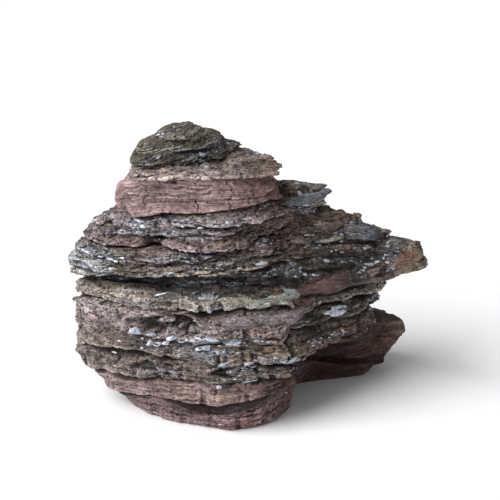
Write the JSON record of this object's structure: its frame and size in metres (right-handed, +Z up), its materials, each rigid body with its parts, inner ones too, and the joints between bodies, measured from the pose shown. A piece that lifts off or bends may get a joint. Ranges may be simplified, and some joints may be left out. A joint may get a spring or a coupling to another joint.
{
  "type": "viewing stone",
  "caption": "Free-standing natural layered rock with stepped bedding ledges, a rounded crown on one side and a flat wing on the other, resting on a flat underside.",
  "frame": {"origin": "on the ground, under the middle of the stone's bounding box", "axes": "+X towards the tip of the wing, along the longest extent; +Y to the back; +Z up"},
  "size_m": [0.2446, 0.1412, 0.193],
  "materials": {
    "stone": "rough split shale in purple-red and olive-brown beds, with grey mica on the bedding planes"
  },
  "bodies": {
    "root": {"stone": "stone"}
  },
  "joints": []
}
